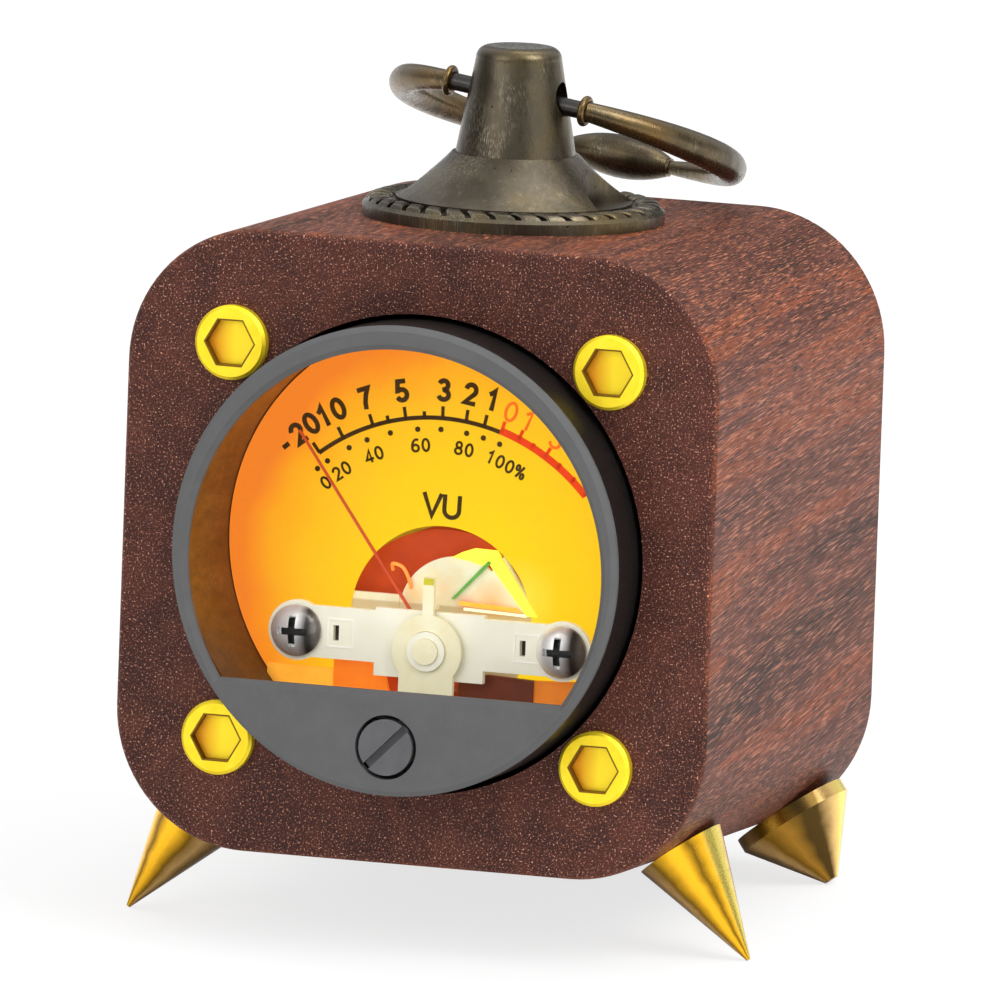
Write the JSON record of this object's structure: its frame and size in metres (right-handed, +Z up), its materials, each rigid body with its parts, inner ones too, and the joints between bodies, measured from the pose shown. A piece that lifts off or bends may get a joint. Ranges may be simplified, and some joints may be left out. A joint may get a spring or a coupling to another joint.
{
  "type": "analog vu meter",
  "caption": "Round moving-coil VU meter with a lit dial in a rounded wooden block that leans back on four metal spikes, with a bronze pull and loose ring on top.",
  "frame": {"origin": "on the floor, midway between the tips of the four spike feet", "axes": "+Z up; -Y towards the viewer of the dial; +X to the viewer's right. The block leans back by about 6.4 degrees about X."},
  "size_m": [0.0636, 0.0675, 0.0827],
  "materials": {
    "wood": "reddish-brown hardwood, satin oil, fine open grain",
    "spike_gold": "polished gold-coloured brass",
    "steel": "zinc-plated steel",
    "brass": "bright yellow brass",
    "black_plastic": "black moulded plastic",
    "bronze": "antique bronze, dark, worn bright on the edges",
    "bezel": "mid-grey, matt",
    "window": "clear acrylic",
    "cream_plastic": "cream moulded plastic",
    "dial": "translucent printed dial, lit warm yellow",
    "white_plastic": "white moulded plastic",
    "chrome": "bright nickel plate",
    "red_magnet": "dark red lacquer",
    "aluminium": "drawn aluminium can",
    "copper": "enamelled copper wire",
    "needle": "dark red paint",
    "spring_bronze": "phosphor-bronze hairspring",
    "board": "green solder mask",
    "lamp": "warm lamp lens",
    "blue_plastic": "blue moulded trimmer body",
    "chip": "black epoxy"
  },
  "bodies": {
    "root": {"case_block": "wood", "front_left_foot": "spike_gold", "front_right_foot": "spike_gold", "rear_left_foot": "spike_gold", "rear_right_foot": "spike_gold", "foot_studs": "steel", "front_hex_screws": "brass", "rear_cover": "black_plastic", "rear_cover_screws": "steel", "pull_base_plate": "bronze", "pull_rope_border": "bronze", "pull_skirt": "bronze", "pull_post": "bronze", "pull_washer": "steel", "pull_screw": "steel", "meter_bezel": "bezel", "meter_window": "window", "meter_shell": "black_plastic", "meter_cup": "black_plastic", "meter_mounting_ring": "black_plastic", "dial_plate": "dial", "movement_plate": "cream_plastic", "movement_bridge": "white_plastic", "bridge_screws": "chrome", "movement_screws": "steel", "bridge_posts": "steel", "front_jewel_screw": "cream_plastic", "rear_jewel_screw": "brass", "pointer_stops": "steel", "magnet_yoke": "red_magnet", "core_magnet": "steel", "core_posts": "brass", "movement_base": "aluminium", "backlight_board": "board", "backlight_lamps": "lamp", "meter_terminals": "brass", "board_spacers": "aluminium", "terminal_nuts": "brass", "driver_board": "board", "usb_c_socket": "steel", "microphone": "aluminium", "trimmer_body": "blue_plastic", "driver_chip": "chip", "capacitors": "aluminium"},
    "pull_ring": {"pull_ring": "bronze"},
    "pointer_coil": {"coil_bobbin": "aluminium", "coil_winding": "copper", "front_pivot_staff": "steel", "rear_pivot_staff": "steel", "pointer": "needle", "counterweights": "brass", "front_hairspring": "spring_bronze", "rear_hairspring": "spring_bronze"},
    "zero_screw": {"zero_adjust_screw": "black_plastic"},
    "zero_lever": {"zero_lever": "cream_plastic"},
    "trimmer_rotor": {"trimmer_rotor": "white_plastic"}
  },
  "joints": [
    {"name": "pull_ring_swing", "type": "hinge", "parent": "root", "child": "pull_ring", "pos_m": [0, 0.00723, 0.07754], "axis": [0.9898, -0.0711, -0.1235], "range_deg": [-2.8, 144]},
    {"name": "needle_swing", "type": "hinge", "parent": "root", "child": "pointer_coil", "pos_m": [0, -0.01649, 0.02828], "axis": [0, 0.9939, -0.1101], "range_deg": [0, 81], "stiffness_Nm_per_rad": 0.00005},
    {"name": "zero_screw_turn", "type": "hinge", "parent": "root", "child": "zero_screw", "pos_m": [0, -0.0299, 0.02167], "axis": [0, 0.9939, -0.1101], "range_deg": [-40, 40]},
    {"name": "zero_lever_turn", "type": "hinge", "parent": "root", "child": "zero_lever", "pos_m": [0, -0.01858, 0.02851], "axis": [0, 0.9939, -0.1101], "range_deg": [-3.3, 3.3]},
    {"name": "trimmer_turn", "type": "hinge", "parent": "root", "child": "trimmer_rotor", "pos_m": [0.013, 0.02222, 0.02983], "axis": [0, 0.9939, -0.1101], "range_deg": [-135, 135]}
  ],
  "couplings": [
    {"joint": "zero_lever_turn", "follows": "zero_screw_turn", "ratio": -0.0806}
  ]
}
